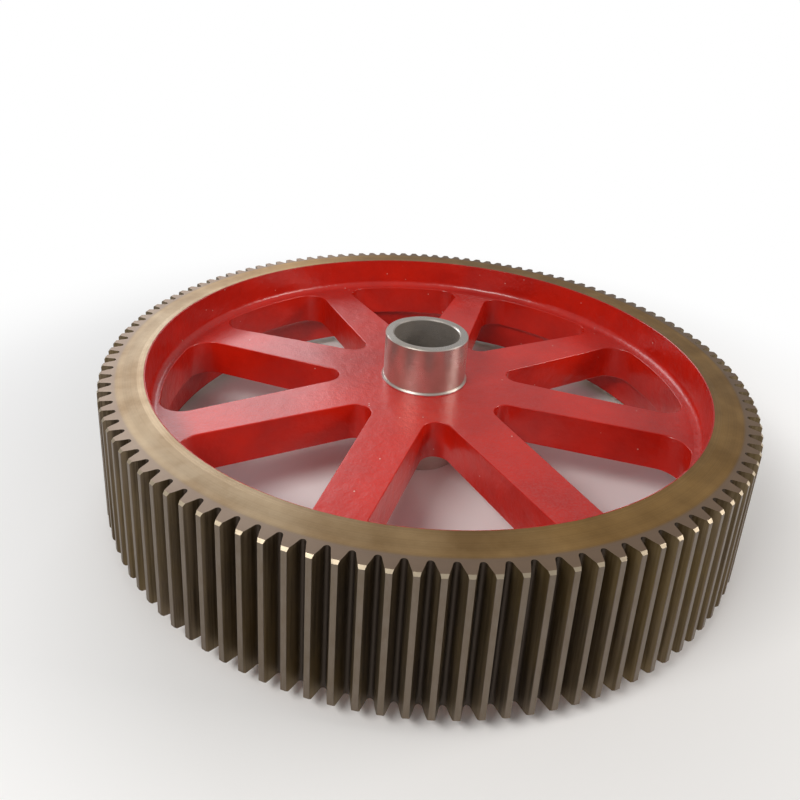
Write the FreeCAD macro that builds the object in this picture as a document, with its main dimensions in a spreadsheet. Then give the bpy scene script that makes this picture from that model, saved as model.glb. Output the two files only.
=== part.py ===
import FreeCAD, Part
import math
import os

import Sketcher

# A large spur gear built up from a forged tooth ring, a cast wheel centre and a turned hub sleeve.
# The gear lies flat: its bore runs along Z, and the origin is on the bore axis at mid-width.

# Driving dimensions, in millimetres and degrees.
SIZES = {
    # teeth
    "teeth_count": 121,
    "tooth_module": 20,
    "pressure_angle": 20,
    "face_width": 450,
    "tip_bevel": 7,
    "tooth_backlash": 0.6,
    # ring under the tooth roots, and the rim band of the wheel centre that it is shrunk on
    "ring_wall": 80,
    "rim_band": 25,
    "rim_wall_draft": 6,
    "rim_mouth_bevel": 3,
    "cove_radius": 32,
    # flat web with its windows and spokes
    "web_thickness": 150,
    "hub_eye_wall": 200,
    "spoke_count": 8,
    "spoke_root_width": 200,
    "spoke_end_width": 160,
    "window_inner_corner": 58,
    "window_outer_corner": 90,
    "window_edge_round": 4,
    "window_land": 1,
    # hub sleeve and its collars
    "bore_radius": 135,
    "sleeve_wall": 35,
    "sleeve_stand_out": 45,
    "sleeve_outer_chamfer": 4,
    "sleeve_bore_chamfer": 5,
    "collar_width": 7,
    "collar_height": 10,
    "collar_chamfer": 5,
    # round keys between sleeve and hub eye
    "pin_count": 4,
    "pin_diameter": 24,
    "pin_chamfer": 1.5,
    # headless screws that lock the tooth ring on the wheel centre
    "screw_count": 8,
    "screw_diameter": 24,
    "screw_length": 60,
    "screw_socket_width": 12,
    "screw_socket_depth": 14,
}

# Depth of the tooth roots below the pitch circle, in modules.
DEDENDUM_FACTOR = 1.25

# Sizes that follow from the driving ones, as expressions.
HALF_FACE = "sizes.face_width / 2"
HALF_WEB = "sizes.web_thickness / 2"
TIP_RADIUS = "sizes.tooth_module * (sizes.teeth_count + 2) / 2"
ROOT_RADIUS = f"sizes.tooth_module * (sizes.teeth_count / 2 - {DEDENDUM_FACTOR})"
JOINT_RADIUS = f"({ROOT_RADIUS} - sizes.ring_wall)"
RIM_MOUTH_RADIUS = f"({JOINT_RADIUS} - sizes.rim_band)"
WALL_FOOT_RADIUS = f"({RIM_MOUTH_RADIUS} - sizes.rim_wall_draft)"
WINDOW_REACH = (
    f"({WALL_FOOT_RADIUS} - sizes.cove_radius - sizes.window_edge_round - sizes.window_land)"
)
SLEEVE_END = "sizes.face_width / 2 + sizes.sleeve_stand_out"
SLEEVE_RADIUS = "(sizes.bore_radius + sizes.sleeve_wall)"
COLLAR_RADIUS = f"({SLEEVE_RADIUS} + sizes.collar_width)"
SPOKE_ROOT_RADIUS = f"({SLEEVE_RADIUS} + sizes.hub_eye_wall)"
SPOKE_SLOPE = (
    "(sizes.spoke_root_width - sizes.spoke_end_width) / 2"
    f" / ({WINDOW_REACH} - {SPOKE_ROOT_RADIUS})"
)
EDGE_ANGLE = f"180 deg / sizes.spoke_count + atan({SPOKE_SLOPE})"
EDGE_OFFSET = (
    f"sizes.spoke_root_width / 2 * cos(atan({SPOKE_SLOPE}))"
    f" + {SPOKE_ROOT_RADIUS} * sin(atan({SPOKE_SLOPE}))"
)

document = FreeCAD.newDocument("spur_gear")
sheet = document.addObject("Spreadsheet::Sheet", "sizes")
for row, (name, number) in enumerate(SIZES.items(), start=1):
    sheet.set(f"A{row}", name)
    sheet.set(f"B{row}", str(number))
    sheet.setAlias(f"B{row}", name)
document.recompute()


def size(name):
    """The number in the sheet's cell of that name."""
    return float(getattr(sheet, name))


def bind(item, **expressions):
    """Ties properties of an object to expressions; a double underscore stands for a dot."""
    for name, expression in expressions.items():
        item.setExpression(name.replace("__", "."), expression)


def new_body(label):
    body = document.addObject("PartDesign::Body", label)
    body.Label = label
    return body


def new_sketch(body, name, plane):
    """A sketch of the body's own, flat on one of its origin planes."""
    sketch = body.newObject("Sketcher::SketchObject", name)
    support = next(item for item in body.Origin.OriginFeatures if item.Role == plane)
    sketch.AttachmentSupport = [(support, "")]
    sketch.MapMode = "FlatFace"
    document.recompute()
    return sketch


def number_of(item, expression):
    """An expression's value as a plain number."""
    value = item.evalExpression(expression)
    return float(getattr(value, "Value", value))


def outline(sketch, corners):
    """Closes straight lines round the corners, each corner pinned by its two expressions."""
    places = [
        FreeCAD.Vector(number_of(sketch, across), number_of(sketch, up), 0)
        for across, up in corners
    ]
    lines = [
        sketch.addGeometry(Part.LineSegment(start, end), False)
        for start, end in zip(places, places[1:] + places[:1])
    ]
    for line, following in zip(lines, lines[1:] + lines[:1]):
        sketch.addConstraint(Sketcher.Constraint("Coincident", line, 2, following, 1))
    for line, place, (across, up) in zip(lines, places, corners):
        for kind, value, expression in (("DistanceX", place.x, across), ("DistanceY", place.y, up)):
            index = sketch.addConstraint(Sketcher.Constraint(kind, -1, 1, line, 1, value))
            sketch.setExpression(f"Constraints[{index}]", expression)


def revolve(body, name, corners):
    """Turns a half-section, drawn across and up, about the body's Z axis."""
    sketch = new_sketch(body, name + "_section", "XZ_Plane")
    outline(sketch, corners)
    turned = body.newObject("PartDesign::Revolution", name)
    turned.Profile = sketch
    turned.ReferenceAxis = (sketch, ["V_Axis"])
    turned.Angle = 360
    document.recompute()
    return turned


def edge_names(feature, wanted):
    """The names of the feature's edges that pass the test."""
    return [f"Edge{i}" for i, edge in enumerate(feature.Shape.Edges, start=1) if wanted(edge)]


def at_level(edge, level):
    """Whether an edge lies flat at one height."""
    box = edge.BoundBox
    return abs(box.ZMin - level) < 0.01 and abs(box.ZMax - level) < 0.01


def round_edges(body, name, feature, edges, radius):
    fillet = body.newObject("PartDesign::Fillet", name)
    fillet.Base = (feature, edges)
    bind(fillet, Radius=radius)
    document.recompute()
    return fillet


def ring_of_rods(name, count, circle, diameter, length, bottom):
    """Upright rods spaced evenly on a circle about Z, the first half a step from the X axis."""
    rods = []
    for step in range(int(size(count))):
        rod = document.addObject("Part::Cylinder", f"{name}_{step + 1}")
        turn = f"360 deg * ({step} + 0.5) / sizes.{count}"
        bind(
            rod,
            Radius=f"{diameter} / 2",
            Height=length,
            Placement__Base__x=f"{circle} * cos({turn})",
            Placement__Base__y=f"{circle} * sin({turn})",
            Placement__Base__z=bottom,
        )
        rods.append(rod)
    return rods


def joined(name, items):
    fuse = document.addObject("Part::MultiFuse", name)
    fuse.Shapes = items
    return fuse


def cut(label, base, tool):
    result = document.addObject("Part::Cut", label)
    result.Base = base
    result.Tool = tool
    result.Label = label
    return result


# ---- teeth -------------------------------------------------------------------------------

def involute(angle):
    return math.tan(angle) - angle


def tooth_outline():
    """The face inside the closed line of all teeth, at the lower end of the ring."""
    teeth = int(size("teeth_count"))
    module = size("tooth_module")
    pressure = math.radians(size("pressure_angle"))
    pitch_radius = module * teeth / 2
    base_radius = pitch_radius * math.cos(pressure)
    tip_radius = pitch_radius + module
    root_radius = pitch_radius - DEDENDUM_FACTOR * module
    step = 2 * math.pi / teeth
    slack = size("tooth_backlash") / (2 * pitch_radius)

    def half_tooth(radius):
        """Half the angle that a tooth takes up at a radius."""
        here = math.acos(base_radius / radius)
        return step / 4 - slack + involute(pressure) - involute(here)

    # The root is one round from flank to flank, tangent to both.
    slope = math.acos(base_radius / root_radius)
    half_gap = root_radius * (step / 2 - half_tooth(root_radius))
    round_share = math.cos(slope) - (1 - math.sin(slope)) * math.tan(slope)
    foot_radius = root_radius + half_gap / round_share * (1 - math.sin(slope))

    def point(radius, angle):
        return FreeCAD.Vector(radius * math.cos(angle), radius * math.sin(angle), 0)

    edges = []
    middle_radius = (foot_radius + tip_radius) / 2
    for index in range(teeth):
        centre = index * step
        gap = centre + step / 2
        tip_angle = half_tooth(tip_radius)
        middle_angle = half_tooth(middle_radius)
        foot_angle = half_tooth(foot_radius)
        rising = [
            point(foot_radius, centre - foot_angle),
            point(middle_radius, centre - middle_angle),
            point(tip_radius, centre - tip_angle),
        ]
        falling = [
            point(tip_radius, centre + tip_angle),
            point(middle_radius, centre + middle_angle),
            point(foot_radius, centre + foot_angle),
        ]
        following = point(foot_radius, centre + step - foot_angle)
        edges.append(Part.Arc(*rising).toShape())
        edges.append(Part.Arc(rising[2], point(tip_radius, centre), falling[0]).toShape())
        edges.append(Part.Arc(*falling).toShape())
        edges.append(Part.Arc(falling[2], point(root_radius, gap), following).toShape())
    return Part.Face(Part.Wire(edges))


teeth_face = document.addObject("Part::Feature", "teeth_face")
teeth_face.Shape = tooth_outline()
bind(teeth_face, Placement__Base__z="-" + HALF_FACE)
toothed_disc = document.addObject("Part::Extrusion", "toothed_disc")
toothed_disc.Base = teeth_face
toothed_disc.DirMode = "Custom"
toothed_disc.Dir = FreeCAD.Vector(0, 0, 1)
toothed_disc.Solid = True
bind(toothed_disc, LengthFwd="sizes.face_width")

ring_blank = new_body("ring_blank")
revolve(ring_blank, "ring_turned", [
    (JOINT_RADIUS, "-" + HALF_FACE),
    (f"{TIP_RADIUS} - sizes.tip_bevel", "-" + HALF_FACE),
    (TIP_RADIUS, f"sizes.tip_bevel - {HALF_FACE}"),
    (TIP_RADIUS, f"{HALF_FACE} - sizes.tip_bevel"),
    (f"{TIP_RADIUS} - sizes.tip_bevel", HALF_FACE),
    (JOINT_RADIUS, HALF_FACE),
])
toothed_ring = document.addObject("Part::MultiCommon", "toothed_ring")
toothed_ring.Shapes = [ring_blank, toothed_disc]

screw_rods = ring_of_rods(
    "screw_rod", "screw_count", JOINT_RADIUS, "sizes.screw_diameter",
    "sizes.screw_length", "-" + HALF_FACE,
)
screw_bed = joined("screw_bed", screw_rods)
gear_ring = cut("gear_ring", toothed_ring, screw_bed)


# ---- wheel centre ------------------------------------------------------------------------

centre_body = new_body("centre_body")
centre_turned = revolve(centre_body, "centre_turned", [
    (SLEEVE_RADIUS, "-" + HALF_WEB),
    (WALL_FOOT_RADIUS, "-" + HALF_WEB),
    (RIM_MOUTH_RADIUS, f"sizes.rim_mouth_bevel - {HALF_FACE}"),
    (f"{RIM_MOUTH_RADIUS} + sizes.rim_mouth_bevel", "-" + HALF_FACE),
    (JOINT_RADIUS, "-" + HALF_FACE),
    (JOINT_RADIUS, HALF_FACE),
    (f"{RIM_MOUTH_RADIUS} + sizes.rim_mouth_bevel", HALF_FACE),
    (RIM_MOUTH_RADIUS, f"{HALF_FACE} - sizes.rim_mouth_bevel"),
    (WALL_FOOT_RADIUS, HALF_WEB),
    (SLEEVE_RADIUS, HALF_WEB),
])
half_web = size("web_thickness") / 2
wall_foot = number_of(centre_turned, WALL_FOOT_RADIUS)


def is_cove_edge(edge):
    """Whether an edge is the corner where the rim wall meets the web."""
    level = at_level(edge, half_web) or at_level(edge, -half_web)
    return level and abs(edge.BoundBox.XMax - wall_foot) < 0.01


coves = round_edges(
    centre_body, "coves", centre_turned,
    edge_names(centre_turned, is_cove_edge), "sizes.cove_radius",
)


def window_sketch(body):
    """One window: two spoke edges and an arc about the bore, with three rounded corners."""
    sketch = new_sketch(body, "window_outline", "XY_Plane")
    angle = math.radians(number_of(sketch, EDGE_ANGLE))
    offset = number_of(sketch, EDGE_OFFSET)
    outer = number_of(sketch, WINDOW_REACH)
    small = size("window_inner_corner")
    large = size("window_outer_corner")
    normal = FreeCAD.Vector(-math.sin(angle), math.cos(angle), 0)
    along = FreeCAD.Vector(math.cos(angle), math.sin(angle), 0)
    # Centre of the large corner: its radius inside the arc and inside the spoke edge.
    reach = math.sqrt((outer - large) ** 2 - (offset + large) ** 2)
    large_centre = along * reach - normal * (offset + large)
    arc_end = large_centre * (outer / (outer - large))
    edge_end = large_centre + normal * large
    small_centre = FreeCAD.Vector((offset + small) / math.sin(angle), 0, 0)
    edge_start = small_centre + normal * small

    def below(place):
        return FreeCAD.Vector(place.x, -place.y, 0)

    nose = small_centre - FreeCAD.Vector(small, 0, 0)
    shoulder = (large_centre + (arc_end - large_centre + edge_end - large_centre).normalize() * large)
    upper = sketch.addGeometry(Part.LineSegment(edge_start, edge_end), False)
    upper_corner = sketch.addGeometry(Part.Arc(edge_end, shoulder, arc_end), False)
    rim_arc = sketch.addGeometry(
        Part.Arc(arc_end, FreeCAD.Vector(outer, 0, 0), below(arc_end)), False)
    lower_corner = sketch.addGeometry(
        Part.Arc(below(arc_end), below(shoulder), below(edge_end)), False)
    lower = sketch.addGeometry(Part.LineSegment(below(edge_end), below(edge_start)), False)
    inner_corner = sketch.addGeometry(Part.Arc(below(edge_start), nose, edge_start), False)
    document.recompute()

    def end_near(index, place):
        """Which end of a curve lies at a place: 1 for its start and 2 for its end."""
        return min((1, 2), key=lambda end: sketch.getPoint(index, end).distanceToPoint(place))

    for first, second, place in (
        (upper, upper_corner, edge_end),
        (upper_corner, rim_arc, arc_end),
        (rim_arc, lower_corner, below(arc_end)),
        (lower_corner, lower, below(edge_end)),
        (lower, inner_corner, below(edge_start)),
        (inner_corner, upper, edge_start),
    ):
        sketch.addConstraint(Sketcher.Constraint(
            "Tangent", first, end_near(first, place), second, end_near(second, place)))
    sketch.addConstraint(Sketcher.Constraint("Coincident", rim_arc, 3, -1, 1))
    sketch.addConstraint(Sketcher.Constraint("Symmetric", upper, 1, lower, 2, -1))
    sketch.addConstraint(Sketcher.Constraint("Equal", upper_corner, lower_corner))
    for constraint, expression in (
        (Sketcher.Constraint("Radius", rim_arc, outer), WINDOW_REACH),
        (Sketcher.Constraint("Radius", upper_corner, large), "sizes.window_outer_corner"),
        (Sketcher.Constraint("Radius", inner_corner, small), "sizes.window_inner_corner"),
        (Sketcher.Constraint("Angle", upper, angle), EDGE_ANGLE),
        (Sketcher.Constraint("Distance", -1, 1, upper, offset), EDGE_OFFSET),
    ):
        index = sketch.addConstraint(constraint)
        sketch.setExpression(f"Constraints[{index}]", expression)
    document.recompute()
    return sketch


window = centre_body.newObject("PartDesign::Pocket", "window")
window.Profile = window_sketch(centre_body)
window.Type = "ThroughAll"
window.Midplane = True
document.recompute()
windows = centre_body.newObject("PartDesign::PolarPattern", "windows")
windows.Originals = [window]
windows.Axis = (window.Profile[0], ["N_Axis"])
windows.Angle = 360
bind(windows, Occurrences="sizes.spoke_count")
centre_body.Tip = windows
document.recompute()


sleeve_radius = number_of(windows, SLEEVE_RADIUS)
window_reach = number_of(windows, WINDOW_REACH)


def is_window_wall(face):
    """Whether a face is one of the upright walls of the windows."""
    first_low, first_high, second_low, second_high = face.ParameterRange
    normal = face.normalAt((first_low + first_high) / 2, (second_low + second_high) / 2)
    place = face.CenterOfMass
    inside = sleeve_radius < math.hypot(place.x, place.y) <= window_reach
    return abs(normal.z) < 0.001 and inside


wall_edges = [
    edge for face in windows.Shape.Faces if is_window_wall(face) for edge in face.Edges
    if edge.BoundBox.ZLength < half_web
]
window_rounds = round_edges(
    centre_body, "window_rounds", windows,
    edge_names(windows, lambda edge: any(edge.isSame(other) for other in wall_edges)),
    "sizes.window_edge_round",
)
centre_body.Tip = window_rounds

pin_rods = ring_of_rods(
    "pin_rod", "pin_count", SLEEVE_RADIUS, "sizes.pin_diameter",
    "sizes.web_thickness", "-" + HALF_WEB,
)
pin_bed = joined("pin_bed", pin_rods)
drilled_centre = cut("drilled_centre", centre_body, pin_bed)
wheel_centre = cut("wheel_centre", drilled_centre, screw_bed)


# ---- hub sleeve, collars and round keys --------------------------------------------------

sleeve_body = new_body("sleeve_body")
revolve(sleeve_body, "sleeve_turned", [
    ("sizes.bore_radius", f"sizes.sleeve_bore_chamfer - ({SLEEVE_END})"),
    ("sizes.bore_radius + sizes.sleeve_bore_chamfer", f"-({SLEEVE_END})"),
    (f"{SLEEVE_RADIUS} - sizes.sleeve_outer_chamfer", f"-({SLEEVE_END})"),
    (SLEEVE_RADIUS, f"sizes.sleeve_outer_chamfer - ({SLEEVE_END})"),
    (SLEEVE_RADIUS, f"{SLEEVE_END} - sizes.sleeve_outer_chamfer"),
    (f"{SLEEVE_RADIUS} - sizes.sleeve_outer_chamfer", SLEEVE_END),
    ("sizes.bore_radius + sizes.sleeve_bore_chamfer", SLEEVE_END),
    ("sizes.bore_radius", f"{SLEEVE_END} - sizes.sleeve_bore_chamfer"),
])
hub_sleeve = cut("hub_sleeve", sleeve_body, pin_bed)


def collar(label, side):
    """A turned ring at the sleeve's foot, flat on the web, on the side of that sign."""
    body = new_body(label)
    foot = f"{side} * {HALF_WEB}"
    top = f"{side} * ({HALF_WEB} + sizes.collar_height)"
    shoulder = f"{side} * ({HALF_WEB} + sizes.collar_height - sizes.collar_chamfer)"
    revolve(body, label + "_turned", [
        (SLEEVE_RADIUS, foot),
        (COLLAR_RADIUS, foot),
        (COLLAR_RADIUS, shoulder),
        (f"{COLLAR_RADIUS} - sizes.collar_chamfer", top),
        (SLEEVE_RADIUS, top),
    ])
    return body


upper_collar = collar("upper_collar", 1)
lower_collar = collar("lower_collar", -1)


def bevelled(rod, name, amount):
    """A rod with both of its end edges bevelled."""
    bevel = document.addObject("Part::Chamfer", name)
    bevel.Base = rod
    document.recompute()
    rims = [
        index for index, edge in enumerate(rod.Shape.Edges, start=1)
        if isinstance(edge.Curve, Part.Circle)
    ]
    bevel.Edges = [(index, amount, amount) for index in rims]
    return bevel


def gathered(label, items):
    group = document.addObject("Part::Compound", label)
    group.Links = items
    group.Label = label
    return group


document.recompute()
sleeve_lock_pins = gathered("sleeve_lock_pins", [
    bevelled(rod, f"pin_{number}", size("pin_chamfer")) for number, rod in enumerate(pin_rods, start=1)
])


# ---- lock screws of the tooth ring -------------------------------------------------------

def socketed(rod, name):
    """A headless screw: the rod with a hexagon socket in its lower end."""
    socket = document.addObject("Part::Prism", name + "_socket")
    socket.Polygon = 6
    bind(
        socket,
        Circumradius="sizes.screw_socket_width / 2 / cos(30 deg)",
        Height="sizes.screw_socket_depth",
        Placement__Base__x=f"{rod.Name}.Placement.Base.x",
        Placement__Base__y=f"{rod.Name}.Placement.Base.y",
        Placement__Base__z=f"{rod.Name}.Placement.Base.z",
    )
    return cut(name, rod, socket)


ring_lock_screws = gathered("ring_lock_screws", [
    socketed(rod, f"screw_{number}") for number, rod in enumerate(screw_rods, start=1)
])

document.recompute()


# ---- checks and files --------------------------------------------------------------------

PIECES = [
    gear_ring,
    wheel_centre,
    hub_sleeve,
    upper_collar,
    lower_collar,
    sleeve_lock_pins,
    ring_lock_screws,
]
for item in document.Objects:
    for fault in ("Invalid", "Error"):
        if fault in item.State:
            raise RuntimeError(f"{item.Label} is {fault}")
for piece in PIECES:
    if piece.Shape.isNull() or not piece.Shape.isValid():
        raise RuntimeError(f"{piece.Label} has no valid shape")

os.makedirs("parts", exist_ok=True)
for piece in PIECES:
    piece.Shape.exportStep(f"parts/{piece.Label}.step")
    box = piece.Shape.BoundBox
    print(
        piece.Label, "solids", len(piece.Shape.Solids), "volume", round(piece.Shape.Volume),
        "size", round(box.XLength, 1), round(box.YLength, 1), round(box.ZLength, 1),
    )
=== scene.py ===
"""Finishes, paint beads, floor, lamps and camera for a large spur gear that lies flat on its hub."""
import logging
import math
from dataclasses import dataclass, field
from enum import Enum
from typing import Any, Sequence

import bpy
from mathutils import Matrix, Vector


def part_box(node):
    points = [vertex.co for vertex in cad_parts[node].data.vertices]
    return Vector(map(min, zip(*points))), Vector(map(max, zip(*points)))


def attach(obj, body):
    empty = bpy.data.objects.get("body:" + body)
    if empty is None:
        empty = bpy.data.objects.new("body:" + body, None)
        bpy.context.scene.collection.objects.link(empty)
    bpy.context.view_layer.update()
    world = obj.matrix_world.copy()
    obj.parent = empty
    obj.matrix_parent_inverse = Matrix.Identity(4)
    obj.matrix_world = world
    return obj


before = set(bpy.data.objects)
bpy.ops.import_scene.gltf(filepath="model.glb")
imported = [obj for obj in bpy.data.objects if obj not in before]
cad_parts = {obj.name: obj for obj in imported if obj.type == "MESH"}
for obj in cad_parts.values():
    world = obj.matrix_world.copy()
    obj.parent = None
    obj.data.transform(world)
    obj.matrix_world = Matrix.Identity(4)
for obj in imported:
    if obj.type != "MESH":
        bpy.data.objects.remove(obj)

log = logging.getLogger("spur_gear")
Colour = tuple[float, float, float, float]
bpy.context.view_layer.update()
ROOT_BODY = "root"
OILED_METAL = 0.82
PLAIN_METAL = 0.9
TURNED_METAL = 0.86
FLOOR_GAP = 0.0005


def paint(red: int, green: int, blue: int) -> Colour:
    """A screen colour of 0 to 255 a channel as the linear colour that a shader takes.

    Args:
        red: Red channel.
        green: Green channel.
        blue: Blue channel.

    Returns:
        The linear colour with full alpha.
    """
    def linear(channel: int) -> float:
        """One channel without the screen's gamma."""
        share = channel / 255
        return share / 12.92 if share <= 0.04045 else ((share + 0.055) / 1.055) ** 2.4

    return (linear(red), linear(green), linear(blue), 1.0)


class Side(Enum):
    """The two faces of the gear as it lies: up and down."""

    UPPER = 1.0
    LOWER = -1.0


class Blend(Enum):
    """How one colour is laid over another."""

    MIX = "MIX"
    MULTIPLY = "MULTIPLY"


@dataclass(frozen=True)
class GearSizes:
    """Radii and heights of the gear in metres, worked out from the frame's boxes."""

    tip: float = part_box("gear_ring")[1][0]
    joint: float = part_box("wheel_centre")[1][0]
    face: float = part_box("gear_ring")[1][2]
    sleeve_end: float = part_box("hub_sleeve")[1][2]
    collar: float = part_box("upper_collar")[1][0]
    web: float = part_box("upper_collar")[0][2]
    band: float = 0.025
    teeth: int = 121
    tooth_depth: float = 2.25

    @property
    def module(self) -> float:
        """The tooth module."""
        return 2 * self.tip / (self.teeth + 2)

    @property
    def root(self) -> float:
        """Radius of the tooth roots."""
        return self.tip - self.tooth_depth * self.module

    @property
    def mouth(self) -> float:
        """Radius of the painted rim's mouth."""
        return self.joint - self.band


SIZES = GearSizes()


class Wiring:
    """A small hand for laying shader nodes in a tree."""

    def __init__(self, tree: bpy.types.NodeTree) -> None:
        """Keeps the tree.

        Args:
            tree: The node tree of a material or of a group.
        """
        self.tree = tree

    def put(self, socket: bpy.types.NodeSocket, value: Any) -> None:
        """Links a socket to another, or sets its value.

        Args:
            socket: The input that is fed.
            value: An output socket, a number, a vector or a colour.
        """
        if isinstance(value, bpy.types.NodeSocket):
            self.tree.links.new(value, socket)
        else:
            socket.default_value = value

    def node(self, kind: str, feeds: dict[str | int, Any] | None = None, **settings: Any) -> bpy.types.Node:
        """Adds a node.

        Args:
            kind: The node's Blender type.
            feeds: Inputs by name or number, with what they take.
            **settings: Properties of the node.

        Returns:
            The node.
        """
        made = self.tree.nodes.new(kind)
        for name, value in settings.items():
            setattr(made, name, value)
        for key, value in (feeds or {}).items():
            self.put(made.inputs[key], value)
        return made

    def math(self, operation: str, *values: Any, clamp: bool = False) -> bpy.types.NodeSocket:
        """The result of a Math node."""
        feeds = dict(enumerate(values))
        return self.node("ShaderNodeMath", feeds, operation=operation, use_clamp=clamp).outputs[0]

    def window(self, value: Any, start: float, end: float) -> bpy.types.NodeSocket:
        """A smooth mask that is 0 at the start and 1 at the end.

        Args:
            value: The number that runs.
            start: Where the mask is 0.
            end: Where the mask is 1.

        Returns:
            The mask.
        """
        feeds = {"Value": value, "From Min": start, "From Max": end}
        node = self.node("ShaderNodeMapRange", feeds, interpolation_type="SMOOTHSTEP")
        return node.outputs["Result"]

    def mix(self, share: Any, first: Any, second: Any, how: Blend = Blend.MIX) -> bpy.types.NodeSocket:
        """One colour over another.

        Args:
            share: How much of the second shows.
            first: The colour below.
            second: The colour laid on.
            how: The way it is laid on.

        Returns:
            The mixed colour.
        """
        node = self.node("ShaderNodeMix", data_type="RGBA", blend_type=how.value)
        self.put(node.inputs[0], share)
        self.put(node.inputs[6], first)
        self.put(node.inputs[7], second)
        return node.outputs[2]

    def noise(
            self, vector: Any, scale: Any, detail: float = 3.0, rough: float = 0.55) -> bpy.types.NodeSocket:
        """A noise of about 0 to 1 in three dimensions."""
        feeds = {"Vector": vector, "Scale": scale, "Detail": detail, "Roughness": rough}
        return self.node("ShaderNodeTexNoise", feeds).outputs["Fac"]

    def stretched(self, vector: Any, scale: Sequence[float]) -> bpy.types.NodeSocket:
        """A vector multiplied axis by axis."""
        node = self.node("ShaderNodeVectorMath", operation="MULTIPLY")
        self.put(node.inputs[0], vector)
        self.put(node.inputs[1], tuple(scale))
        return node.outputs[0]


class NodeGroup:
    """A shader node group with named inputs and outputs, built once."""

    def __init__(self, name: str, inputs: dict[str, tuple[str, Any]], outputs: dict[str, str]) -> None:
        """Makes the group's tree and its sockets.

        Args:
            name: The group's name.
            inputs: Input names with their socket kind and first value.
            outputs: Output names with their socket kind.
        """
        self.tree = bpy.data.node_groups.new(name, "ShaderNodeTree")
        for label, (kind, value) in inputs.items():
            socket = self.tree.interface.new_socket(name=label, in_out="INPUT", socket_type=kind)
            if value is not None:
                socket.default_value = value
        for label, kind in outputs.items():
            self.tree.interface.new_socket(name=label, in_out="OUTPUT", socket_type=kind)
        self.wiring = Wiring(self.tree)
        self.source = self.tree.nodes.new("NodeGroupInput").outputs
        self.sink = self.tree.nodes.new("NodeGroupOutput").inputs

    def place(self, wiring: Wiring, **feeds: Any) -> bpy.types.Node:
        """Sets the group in a material.

        Args:
            wiring: The material's wiring.
            **feeds: Inputs by name, with an underscore for each space.

        Returns:
            The group's node.
        """
        node = wiring.node("ShaderNodeGroup", node_tree=self.tree)
        for name, value in feeds.items():
            wiring.put(node.inputs[name.replace("_", " ")], value)
        return node


NUMBER = "NodeSocketFloat"
VECTOR = "NodeSocketVector"


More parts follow.
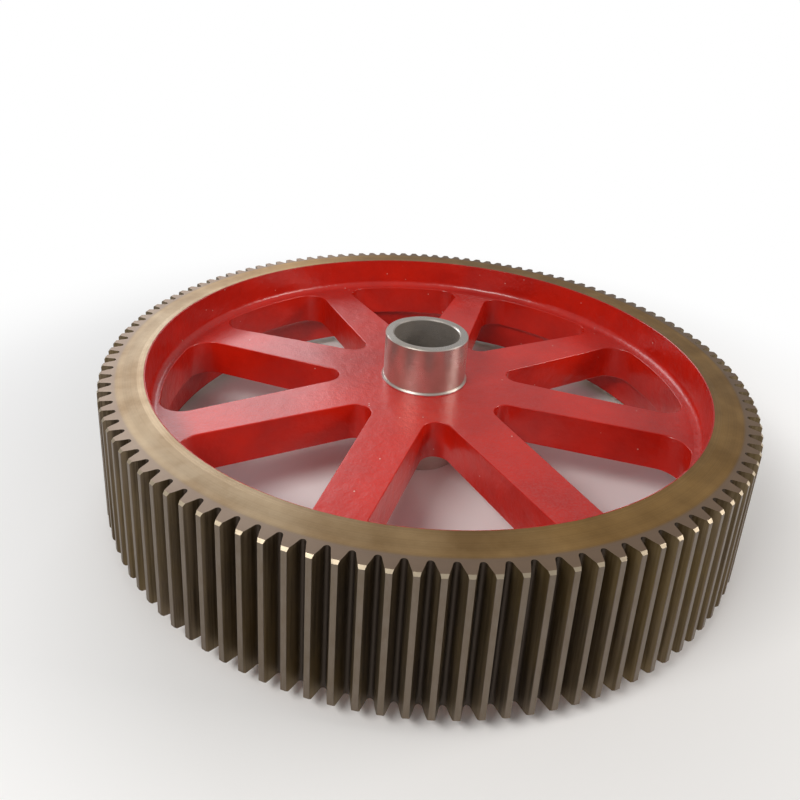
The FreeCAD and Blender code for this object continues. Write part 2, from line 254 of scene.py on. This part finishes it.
class SharedEffects:
    """The node groups that several finishes use."""

    def __init__(self) -> None:
        """Builds each group once."""
        self.polar = self._polar()
        self.turning = self._turning()
        self.blotch = self._blotch()
        self.specks = self._specks()

    @staticmethod
    def _polar() -> NodeGroup:
        """Radius, height and how level the surface is, from a place and a normal."""
        group = NodeGroup(
            "Polar place",
            {"Place": (VECTOR, None), "Facing": (VECTOR, None)},
            {"Radius": NUMBER, "Height": NUMBER, "Level": NUMBER, "Turn": NUMBER},
        )
        wire = group.wiring
        place = wire.node("ShaderNodeSeparateXYZ", {0: group.source["Place"]}).outputs
        facing = wire.node("ShaderNodeSeparateXYZ", {0: group.source["Facing"]}).outputs
        across = wire.math("MULTIPLY", place["X"], place["X"])
        along = wire.math("MULTIPLY", place["Y"], place["Y"])
        radius = wire.math("SQRT", wire.math("ADD", across, along))
        wire.put(group.sink["Radius"], radius)
        wire.put(group.sink["Height"], place["Z"])
        wire.put(group.sink["Level"], wire.math("ABSOLUTE", facing["Z"]))
        wire.put(group.sink["Turn"], wire.math("ARCTAN2", place["Y"], place["X"]))
        return group

    @staticmethod
    def _turning() -> NodeGroup:
        """Fine tool lines that follow one number, such as a radius or a height."""
        group = NodeGroup(
            "Turning lines",
            {"Travel": (NUMBER, 0.0), "Lines per metre": (NUMBER, 400.0), "Place": (VECTOR, None)},
            {"Lines": NUMBER, "Bands": NUMBER},
        )
        wire = group.wiring
        drift = wire.noise(group.source["Place"], 1.7, 2.0)
        travel = wire.math("ADD", group.source["Travel"], wire.math("MULTIPLY", drift, 0.0006))
        step = wire.math("MULTIPLY", travel, group.source["Lines per metre"])
        fine_feeds = {"W": step, "Scale": 1.0, "Detail": 4.0}
        fine = wire.node("ShaderNodeTexNoise", fine_feeds, noise_dimensions="1D")
        slow = wire.math("MULTIPLY", step, 0.06)
        broad_feeds = {"W": slow, "Scale": 1.0, "Detail": 2.0}
        broad = wire.node("ShaderNodeTexNoise", broad_feeds, noise_dimensions="1D")
        wire.put(group.sink["Lines"], fine.outputs["Fac"])
        wire.put(group.sink["Bands"], broad.outputs["Fac"])
        return group

    @staticmethod
    def _blotch() -> NodeGroup:
        """Soft stains of two sizes, as oil and handling leave."""
        group = NodeGroup(
            "Stains",
            {"Place": (VECTOR, None), "Scale": (NUMBER, 3.0), "Sharpness": (NUMBER, 0.5)},
            {"Mask": NUMBER, "Fine": NUMBER},
        )
        wire = group.wiring
        large = wire.noise(group.source["Place"], group.source["Scale"], 5.0, 0.6)
        low = wire.math("SUBTRACT", 0.5, wire.math("MULTIPLY", group.source["Sharpness"], 0.3))
        high = wire.math("ADD", 0.8, wire.math("MULTIPLY", group.source["Sharpness"], -0.2))
        node = wire.node("ShaderNodeMapRange", {"Value": large, "From Min": low, "From Max": high})
        small = wire.noise(group.source["Place"], wire.math("MULTIPLY", group.source["Scale"], 14.0), 4.0)
        wire.put(group.sink["Mask"], node.outputs["Result"])
        wire.put(group.sink["Fine"], small)
        return group

    @staticmethod
    def _specks() -> NodeGroup:
        """Sparse small specks of dust and swarf."""
        group = NodeGroup(
            "Specks",
            {"Place": (VECTOR, None), "Scale": (NUMBER, 60.0), "Amount": (NUMBER, 0.1)},
            {"Mask": NUMBER},
        )
        wire = group.wiring
        feeds = {"Vector": group.source["Place"], "Scale": group.source["Scale"]}
        cells = wire.node("ShaderNodeTexVoronoi", feeds)
        near = wire.window(cells.outputs["Distance"], 0.16, 0.07)
        picked = wire.node("ShaderNodeSeparateColor", {0: cells.outputs["Color"]}).outputs[0]
        chosen = wire.math("LESS_THAN", picked, group.source["Amount"])
        wire.put(group.sink["Mask"], wire.math("MULTIPLY", near, chosen))
        return group


@dataclass(frozen=True)
class Finish:
    """What every finish shares: a name, its effects and how its material starts."""

    effects: SharedEffects
    name: str = "finish"

    def start(self) -> tuple[bpy.types.Material, Wiring, Any, bpy.types.Node]:
        """A new material with its wiring, its object coordinates and its main shader.

        Returns:
            The material, the wiring, the coordinates' socket and the Principled shader.
        """
        material = bpy.data.materials.new(self.name)
        material.use_nodes = True
        wiring = Wiring(material.node_tree)
        shader = material.node_tree.nodes["Principled BSDF"]
        place = wiring.node("ShaderNodeTexCoord").outputs["Object"]
        return material, wiring, place, shader

    def polar(self, wiring: Wiring, place: Any) -> bpy.types.Node:
        """The polar place of the surface, in one node."""
        facing = wiring.node("ShaderNodeNewGeometry").outputs["True Normal"]
        return self.effects.polar.place(wiring, Place=place, Facing=facing)


@dataclass(frozen=True)
class MachinedFace:
    """Colours of the turned end faces, which the ring and the rim band share, with a painted sheen towards
    one side.
    """

    # pale: the colour of the painted sheen and of the pale stains
    pale: Colour = paint(176, 158, 132)
    golden: Colour = paint(170, 130, 70)
    brown: Colour = paint(116, 84, 42)
    mauve: Colour = paint(134, 118, 108)
    painted_sheen_turn: float = -2.75

    def colour(self, wiring: Wiring, effects: SharedEffects, place: Any, polar: Any) -> tuple[Any, Any]:
        """The end face's colour and its tool lines.

        Args:
            wiring: The material's wiring.
            effects: The shared groups.
            place: Object coordinates.
            polar: The polar place's outputs.

        Returns:
            The colour socket and the lines' height socket.
        """
        radius = polar["Radius"]
        lines = effects.turning.place(wiring, Travel=radius, Lines_per_metre=520.0, Place=place)
        stains = effects.blotch.place(wiring, Place=place, Scale=1.1, Sharpness=0.4)
        dabs = effects.blotch.place(wiring, Place=place, Scale=6.0, Sharpness=0.7)
        # painted sheen: the end face turns paler towards one turn of the gear, standing in for the bright
        # surround it reflects; the stains add real pale patches
        around = wiring.math("COSINE", wiring.math("SUBTRACT", polar["Turn"], self.painted_sheen_turn))
        pale = wiring.math("MULTIPLY", wiring.window(around, 0.1, 1.0), 0.85)
        pale = wiring.math("ADD", pale, wiring.math("MULTIPLY", stains.outputs["Mask"], 0.25), clamp=True)
        base = wiring.mix(pale, self.golden, self.pale)
        base = wiring.mix(wiring.math("MULTIPLY", dabs.outputs["Mask"], 0.6), base, self.brown)
        tone = wiring.node("ShaderNodeCombineColor")
        shade = wiring.window(lines.outputs["Lines"], 0.15, 0.85)
        shade = wiring.math("ADD", 0.80, wiring.math("MULTIPLY", shade, 0.30))
        band = wiring.math("ADD", 0.86, wiring.math("MULTIPLY", lines.outputs["Bands"], 0.26))
        shade = wiring.math("MULTIPLY", shade, band)
        for index in range(3):
            wiring.put(tone.inputs[index], shade)
        base = wiring.mix(1.0, base, tone.outputs[0], Blend.MULTIPLY)
        toothed = wiring.window(radius, SIZES.root - 0.016, SIZES.root - 0.004)
        base = wiring.mix(wiring.math("MULTIPLY", toothed, 0.7), base, self.mauve)
        return base, lines.outputs["Lines"]


@dataclass(frozen=True)
class MachinedSteel(Finish):
    """The tooth ring: turned and oiled end faces, hobbed flanks with lengthwise streaks."""

    name: str = "machined_steel"
    face: MachinedFace = field(default_factory=MachinedFace)
    flank: Colour = paint(112, 98, 82)
    # the dark of the flank streaks, and of the painted shade at the tooth roots
    flank_dark_streak_and_shade: Colour = paint(62, 52, 44)
    flank_olive: Colour = paint(126, 104, 56)
    land: Colour = paint(122, 110, 98)
    # pale colour of the chamfers, a painted glint
    bevel_glint: Colour = paint(176, 162, 140)

    def build(self) -> bpy.types.Material:
        """Lays the material's nodes.

        Returns:
            The material.
        """
        material, wire, place, shader = self.start()
        polar = self.polar(wire, place)
        radius, level = polar.outputs["Radius"], polar.outputs["Level"]
        end_colour, lines = self.face.colour(wire, self.effects, place, polar.outputs)

        streaks = wire.noise(wire.stretched(place, (90.0, 90.0, 2.2)), 1.0, 5.0, 0.6)
        fine = wire.noise(wire.stretched(place, (420.0, 420.0, 6.0)), 1.0, 3.0)
        tint = self.effects.blotch.place(wire, Place=place, Scale=2.4, Sharpness=0.6)
        flank = wire.mix(wire.window(streaks, 0.32, 0.66), self.flank_dark_streak_and_shade, self.flank)
        flank = wire.mix(wire.math("MULTIPLY", tint.outputs["Mask"], 0.5), flank, self.flank_olive)
        # painted shade: the flanks darken towards the tooth roots, where shade falls between the teeth
        painted_root_shade = wire.window(radius, SIZES.root, SIZES.root + 0.012)
        flank = wire.mix(painted_root_shade, self.flank_dark_streak_and_shade, flank)

        mottle = wire.noise(wire.stretched(place, (60.0, 60.0, 22.0)), 1.0, 5.0, 0.65)
        land = wire.mix(wire.window(mottle, 0.2, 0.8), self.flank, self.land)
        on_land = wire.window(radius, SIZES.tip - 0.0025, SIZES.tip - 0.0008)
        side = wire.mix(on_land, flank, land)

        is_end = wire.window(level, 0.90, 0.97)
        # painted highlight: surfaces facing half upwards, the chamfers, take a pale glint colour
        part_level = wire.math("MULTIPLY", wire.window(level, 0.30, 0.45), wire.window(level, 0.90, 0.80))
        colour = wire.mix(part_level, side, self.bevel_glint)
        colour = wire.mix(is_end, colour, end_colour)
        wire.put(shader.inputs["Base Color"], colour)

        side_rough = wire.math("ADD", 0.34, wire.math("MULTIPLY", streaks, 0.22))
        end_rough = wire.math("ADD", 0.36, wire.math("MULTIPLY", lines, 0.16))
        rough = wire.node("ShaderNodeMix", {0: is_end}, data_type="FLOAT")
        wire.put(rough.inputs[2], side_rough)
        wire.put(rough.inputs[3], end_rough)
        wire.put(shader.inputs["Roughness"], rough.outputs[0])
        shader.inputs["Metallic"].default_value = OILED_METAL

        coarse_part = wire.math("MULTIPLY", streaks, 0.6)
        side_height = wire.math("ADD", coarse_part, wire.math("MULTIPLY", fine, 0.4))
        height = wire.node("ShaderNodeMix", {0: is_end}, data_type="FLOAT")
        wire.put(height.inputs[2], side_height)
        wire.put(height.inputs[3], wire.math("MULTIPLY", lines, 0.35))
        bump = wire.node(
            "ShaderNodeBump", {"Strength": 0.45, "Distance": 0.0009, "Height": height.outputs[0]})
        wire.put(shader.inputs["Normal"], bump.outputs[0])
        return material


@dataclass(frozen=True)
class RedEnamel(Finish):
    """The wheel centre: glossy enamel over sand-cast skin, with bare machined rim ends."""

    name: str = "red_enamel"
    face: MachinedFace = field(default_factory=MachinedFace)
    red: Colour = paint(204, 30, 8)
    deep: Colour = paint(140, 10, 8)
    # pale pink of the dust and of the painted sheen on level faces
    dust_and_sheen_pink: Colour = paint(176, 72, 70)
    speck: Colour = paint(226, 214, 204)

    def build(self) -> bpy.types.Material:
        """Lays the material's nodes.

        Returns:
            The material.
        """
        material, wire, place, shader = self.start()
        polar = self.polar(wire, place)
        radius, level, height = (polar.outputs[name] for name in ("Radius", "Level", "Height"))
        end_colour, lines = self.face.colour(wire, self.effects, place, polar.outputs)

        stains = self.effects.blotch.place(wire, Place=place, Scale=3.4, Sharpness=0.5)
        flat = wire.window(level, 0.80, 0.98)
        cast = wire.mix(wire.math("MULTIPLY", stains.outputs["Mask"], 0.55), self.red, self.deep)
        sand = wire.noise(place, 150.0, 4.0, 0.6)
        # dust and painted sheen: level faces take a pale pink, partly dust in the sand grain and partly the
        # reflected sky painted on the tops
        sheen_and_dust_share = wire.math("MULTIPLY", flat, wire.window(sand, 0.36, 0.72))
        film = wire.noise(place, 3.2, 4.0, 0.6)
        sheen_and_dust_share = wire.math("MULTIPLY", sheen_and_dust_share, wire.math("ADD", 0.22, wire.math("MULTIPLY", film, 0.5)))
        cast = wire.mix(sheen_and_dust_share, cast, self.dust_and_sheen_pink)
        specks = self.effects.specks.place(wire, Place=place, Scale=46.0, Amount=0.035)
        cast = wire.mix(wire.math("MULTIPLY", specks.outputs["Mask"], 0.75), cast, self.speck)

        bare = wire.window(wire.math("ABSOLUTE", height), SIZES.face - 0.0006, SIZES.face - 0.0002)
        wire.put(shader.inputs["Base Color"], wire.mix(bare, cast, end_colour))
        wire.put(shader.inputs["Metallic"], wire.math("MULTIPLY", bare, OILED_METAL))
        skin = wire.math("ADD", 0.3, wire.math("MULTIPLY", wire.math("MULTIPLY", flat, sand), 0.22))
        rough = wire.node("ShaderNodeMix", {0: bare}, data_type="FLOAT")
        wire.put(rough.inputs[2], skin)
        wire.put(rough.inputs[3], 0.36)
        wire.put(shader.inputs["Roughness"], rough.outputs[0])
        wire.put(shader.inputs["Coat Weight"], wire.math("MULTIPLY", wire.math("SUBTRACT", 1.0, bare), 0.4))
        shader.inputs["Coat Roughness"].default_value = 0.2

        ripple = wire.noise(place, 16.0, 3.0, 0.55)
        grain = wire.math("MULTIPLY", sand, wire.math("ADD", 0.16, wire.math("MULTIPLY", flat, 0.62)))
        relief = wire.math("ADD", grain, wire.math("MULTIPLY", ripple, 4.0))
        relief = wire.math("MULTIPLY", relief, wire.math("SUBTRACT", 1.0, bare))
        relief = wire.math("ADD", relief, wire.math("MULTIPLY", wire.math("MULTIPLY", lines, bare), 0.3))
        bump = wire.node("ShaderNodeBump", {"Strength": 0.7, "Distance": 0.0020, "Height": relief})
        wire.put(shader.inputs["Normal"], bump.outputs[0])
        return material


@dataclass(frozen=True)
class TurnedSteel(Finish):
    """The hub sleeve and its collars: bright, fine turned."""

    name: str = "turned_steel"
    bright: Colour = paint(222, 217, 212)
    warm: Colour = paint(172, 158, 142)
    lines_per_metre: float = 1500.0
    roughness: float = 0.2

    def build(self) -> bpy.types.Material:
        """Lays the material's nodes.

        Returns:
            The material.
        """
        material, wire, place, shader = self.start()
        polar = self.polar(wire, place)
        is_end = wire.window(polar.outputs["Level"], 0.6, 0.8)
        travel = wire.node("ShaderNodeMix", {0: is_end}, data_type="FLOAT")
        wire.put(travel.inputs[2], polar.outputs["Height"])
        wire.put(travel.inputs[3], polar.outputs["Radius"])
        lines = self.effects.turning.place(
            wire, Travel=travel.outputs[0], Lines_per_metre=self.lines_per_metre, Place=place)
        stains = self.effects.blotch.place(wire, Place=place, Scale=7.0, Sharpness=0.5)
        colour = wire.mix(wire.math("MULTIPLY", stains.outputs["Mask"], 0.6), self.bright, self.warm)
        colour = wire.mix(wire.math("MULTIPLY", lines.outputs["Lines"], 0.35), colour, self.warm)
        wire.put(shader.inputs["Base Color"], colour)
        rough = wire.math("ADD", self.roughness, wire.math("MULTIPLY", lines.outputs["Lines"], 0.14))
        rough = wire.math("ADD", rough, wire.math("MULTIPLY", stains.outputs["Mask"], 0.08))
        wire.put(shader.inputs["Roughness"], rough)
        shader.inputs["Metallic"].default_value = TURNED_METAL
        bump = wire.node(
            "ShaderNodeBump", {"Strength": 0.3, "Distance": 0.0003, "Height": lines.outputs["Lines"]})
        wire.put(shader.inputs["Normal"], bump.outputs[0])
        return material


@dataclass(frozen=True)
class FastenerSteel(Finish):
    """Round keys and lock screws: plain steel, a little oily."""

    name: str = "fastener_steel"
    steel: Colour = paint(112, 106, 100)
    oily: Colour = paint(74, 64, 54)

    def build(self) -> bpy.types.Material:
        """Lays the material's nodes.

        Returns:
            The material.
        """
        material, wire, place, shader = self.start()
        stains = self.effects.blotch.place(wire, Place=place, Scale=24.0, Sharpness=0.6)
        wire.put(shader.inputs["Base Color"], wire.mix(stains.outputs["Mask"], self.steel, self.oily))
        rough = wire.math("ADD", 0.3, wire.math("MULTIPLY", stains.outputs["Fine"], 0.2))
        wire.put(shader.inputs["Roughness"], rough)
        shader.inputs["Metallic"].default_value = PLAIN_METAL
        bump = wire.node(
            "ShaderNodeBump", {"Strength": 0.3, "Distance": 0.0004, "Height": stains.outputs["Fine"]})
        wire.put(shader.inputs["Normal"], bump.outputs[0])
        return material


@dataclass(frozen=True)
class EnamelBead(Finish):
    """Thick wet-looking enamel where it gathered in a corner."""

    name: str = "enamel_bead"
    red: Colour = paint(196, 30, 22)
    deep: Colour = paint(140, 18, 16)

    def build(self) -> bpy.types.Material:
        """Lays the material's nodes.

        Returns:
            The material.
        """
        material, wire, place, shader = self.start()
        patches = wire.noise(place, 40.0, 3.0)
        thick = wire.window(patches, 0.35, 0.7)
        wire.put(shader.inputs["Base Color"], wire.mix(thick, self.red, self.deep))
        wire.put(shader.inputs["Roughness"], wire.math("ADD", 0.2, wire.math("MULTIPLY", patches, 0.2)))
        wire.put(shader.inputs["Coat Weight"], wire.math("ADD", 0.4, wire.math("MULTIPLY", patches, 0.2)))
        bump = wire.node("ShaderNodeBump", {"Strength": 0.4, "Distance": 0.0008, "Height": patches})
        wire.put(shader.inputs["Normal"], bump.outputs[0])
        return material


def dress(name: str, material: bpy.types.Material) -> None:
    """Gives a CAD node its finish.

    Args:
        name: The node.
        material: The finish.
    """
    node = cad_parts[name]
    if not node.material_slots:
        node.data.materials.append(material)
    for place in node.material_slots:
        place.material = material
    log.info("dressed %s in %s", name, material.name)


@dataclass
class PaintBeads:
    """Enamel that gathered round the collars and at the rim's mouth."""

    material: bpy.types.Material
    thickness: float = 0.0032
    rim_thickness: float = 0.0012
    rim_depth: float = 0.003
    overhang: float = 0.4
    unevenness: float = 0.0009
    seed: int = 4
    around: int = 180
    section: int = 8

    def ring(self, name: str, radius: float, height: float, thickness: float) -> None:
        """One uneven ring of enamel, made from a torus.

        Args:
            name: The piece's name.
            radius: Radius of the ring's middle line.
            height: Height of the middle line.
            thickness: Radius of the enamel's round section.
        """
        bpy.ops.object.select_all(action="DESELECT")
        bpy.ops.mesh.primitive_torus_add(
            major_radius=radius, minor_radius=thickness,
            major_segments=self.around, minor_segments=self.section,
            location=(0.0, 0.0, height))
        piece = bpy.context.active_object
        piece.name = name
        bpy.ops.object.mode_set(mode="EDIT")
        bpy.ops.mesh.select_all(action="SELECT")
        bpy.ops.transform.vertex_random(offset=self.unevenness, uniform=0.4, seed=self.seed)
        bpy.ops.mesh.vertices_smooth(factor=0.5, repeat=2)
        bpy.ops.mesh.normals_make_consistent(inside=False)
        bpy.ops.object.mode_set(mode="OBJECT")
        smooth = piece.modifiers.new("rounding", "SUBSURF")
        smooth.levels = smooth.render_levels = 1
        bpy.ops.object.modifier_apply(modifier=smooth.name)
        bpy.ops.object.transform_apply(location=True, rotation=True, scale=True)
        bpy.ops.object.shade_smooth()
        piece.data.materials.append(self.material)
        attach(piece, ROOT_BODY)
        log.info("made %s", name)

    def build(self) -> None:
        """Makes the beads of both sides."""
        for side in Side:
            label = side.name.lower()
            web = side.value * SIZES.web
            foot = SIZES.collar + self.thickness * self.overhang
            self.ring(f"{label}_collar_bead", foot, web, self.thickness)
            mouth = side.value * (SIZES.face - self.rim_depth)
            self.ring(f"{label}_mouth_bead", SIZES.mouth, mouth, self.rim_thickness)


@dataclass(frozen=True)
class Lamp:
    """One soft rectangular lamp that looks at the gear."""

    name: str
    place: tuple[float, float, float]
    width: float
    power: float
    warmth: tuple[float, float, float]
    flatness: float = 0.5

    def build(self) -> None:
        """Hangs the lamp and turns it towards the middle of the gear."""
        light = bpy.data.lights.new(self.name, "AREA")
        light.shape = "RECTANGLE"
        light.size = self.width
        light.size_y = self.width * self.flatness
        light.energy = self.power
        light.color = self.warmth
        lamp = bpy.data.objects.new(self.name, light)
        bpy.context.scene.collection.objects.link(lamp)
        lamp.location = self.place
        lamp.rotation_euler = (-Vector(self.place)).to_track_quat("-Z", "Y").to_euler()
        log.info("hung the %s lamp", self.name)


LAMPS = (
    Lamp("key", (-3.0, -3.0, 4.0), 2.6, 170.0, (1.0, 0.98, 0.95)),
    Lamp("back", (-2.4, 5.0, 3.4), 4.4, 110.0, (0.94, 0.96, 1.0)),
    Lamp("right", (4.6, -1.2, 2.4), 2.4, 110.0, (1.0, 0.95, 0.9)),
)


@dataclass
class Studio:
    """Floor, lamps and a pale surround."""

    floor_colour: Colour = (0.9, 0.9, 0.9, 1.0)
    floor_size: float = 60.0
    fade_start: float = 1.45
    fade_end: float = 3.0
    sky_strength: float = 0.36

    def floor(self) -> None:
        """A pale floor under the hub, which fades to white far from the gear."""
        bpy.ops.object.select_all(action="DESELECT")
        level = -SIZES.sleeve_end - FLOOR_GAP
        bpy.ops.mesh.primitive_plane_add(size=self.floor_size, location=(0.0, 0.0, level))
        plane = bpy.context.active_object
        plane.name = "floor"
        material = bpy.data.materials.new("floor")
        material.use_nodes = True
        wire = Wiring(material.node_tree)
        shader = material.node_tree.nodes["Principled BSDF"]
        shader.inputs["Base Color"].default_value = self.floor_colour
        shader.inputs["Roughness"].default_value = 0.9
        place = wire.node("ShaderNodeTexCoord").outputs["Object"]
        distance = wire.node("ShaderNodeVectorMath", {0: place}, operation="LENGTH").outputs["Value"]
        far = wire.window(distance, self.fade_start, self.fade_end)
        rays = wire.node("ShaderNodeLightPath").outputs
        seen = wire.math("MAXIMUM", rays["Is Camera Ray"], rays["Is Glossy Ray"])
        seen = wire.math("MAXIMUM", seen, rays["Is Transmission Ray"])
        glow = wire.node("ShaderNodeEmission", {"Color": (1.0, 1.0, 1.0, 1.0), "Strength": 1.0})
        blend = wire.node("ShaderNodeMixShader", {0: wire.math("MULTIPLY", far, seen)})
        wire.put(blend.inputs[1], shader.outputs[0])
        wire.put(blend.inputs[2], glow.outputs[0])
        output = next(node for node in material.node_tree.nodes if node.type == "OUTPUT_MATERIAL")
        wire.put(output.inputs["Surface"], blend.outputs[0])
        plane.data.materials.append(material)

    def surround(self) -> None:
        """A plain white world that lights softly and shows white."""
        world = bpy.data.worlds.new("surround")
        bpy.context.scene.world = world
        world.use_nodes = True
        wire = Wiring(world.node_tree)
        back = world.node_tree.nodes["Background"]
        back.inputs["Color"].default_value = (1.0, 1.0, 1.0, 1.0)
        rays = wire.node("ShaderNodeLightPath").outputs
        seen = wire.math("MAXIMUM", rays["Is Camera Ray"], rays["Is Transmission Ray"])
        strength = wire.math("ADD", self.sky_strength, wire.math("MULTIPLY", seen, 1.0 - self.sky_strength))
        wire.put(back.inputs["Strength"], strength)

    def build(self) -> None:
        """Sets out the floor, the surround and the lamps."""
        self.floor()
        self.surround()
        for lamp in LAMPS:
            lamp.build()


@dataclass(frozen=True)
class View:
    """The main camera: a hand-held view from the front, above the gear."""

    place: tuple[float, float, float] = (-0.1310, -2.3931, 1.3459)
    lens: float = 28.57
    down: float = 16.97
    roll: float = -3.387
    swing: float = -5.9
    shift: float = -0.1875

    def build(self) -> None:
        """Makes the camera and gives it to the scene."""
        down, roll = math.radians(self.down), math.radians(self.roll)
        right = Vector((1.0, 0.0, 0.0))
        forward = Vector((0.0, math.cos(down), -math.sin(down)))
        up = Vector((0.0, math.sin(down), math.cos(down)))
        across = right * math.cos(roll) - up * math.sin(roll)
        above = right * math.sin(roll) + up * math.cos(roll)
        turn = Matrix((across, above, -forward)).transposed().to_4x4()
        pose = Matrix.Rotation(math.radians(self.swing), 4, "Z") @ Matrix.Translation(self.place) @ turn
        lens = bpy.data.cameras.new("main")
        lens.lens = self.lens
        lens.shift_y = self.shift
        camera = bpy.data.objects.new("main", lens)
        bpy.context.scene.collection.objects.link(camera)
        camera.matrix_world = pose
        bpy.context.scene.camera = camera


def main() -> None:
    """Dresses the gear, makes its paint beads, and sets the studio and the camera."""
    logging.basicConfig(level=logging.INFO)
    effects = SharedEffects()
    turned = TurnedSteel(effects).build()
    fasteners = FastenerSteel(effects).build()
    dress("gear_ring", MachinedSteel(effects).build())
    dress("wheel_centre", RedEnamel(effects).build())
    for name in ("hub_sleeve", "upper_collar", "lower_collar"):
        dress(name, turned)
    for name in ("sleeve_lock_pins", "ring_lock_screws"):
        dress(name, fasteners)
    PaintBeads(EnamelBead(effects).build()).build()
    Studio().build()
    View().build()
    bpy.context.scene.view_settings.view_transform = "Standard"


if __name__ == "__main__":
    main()
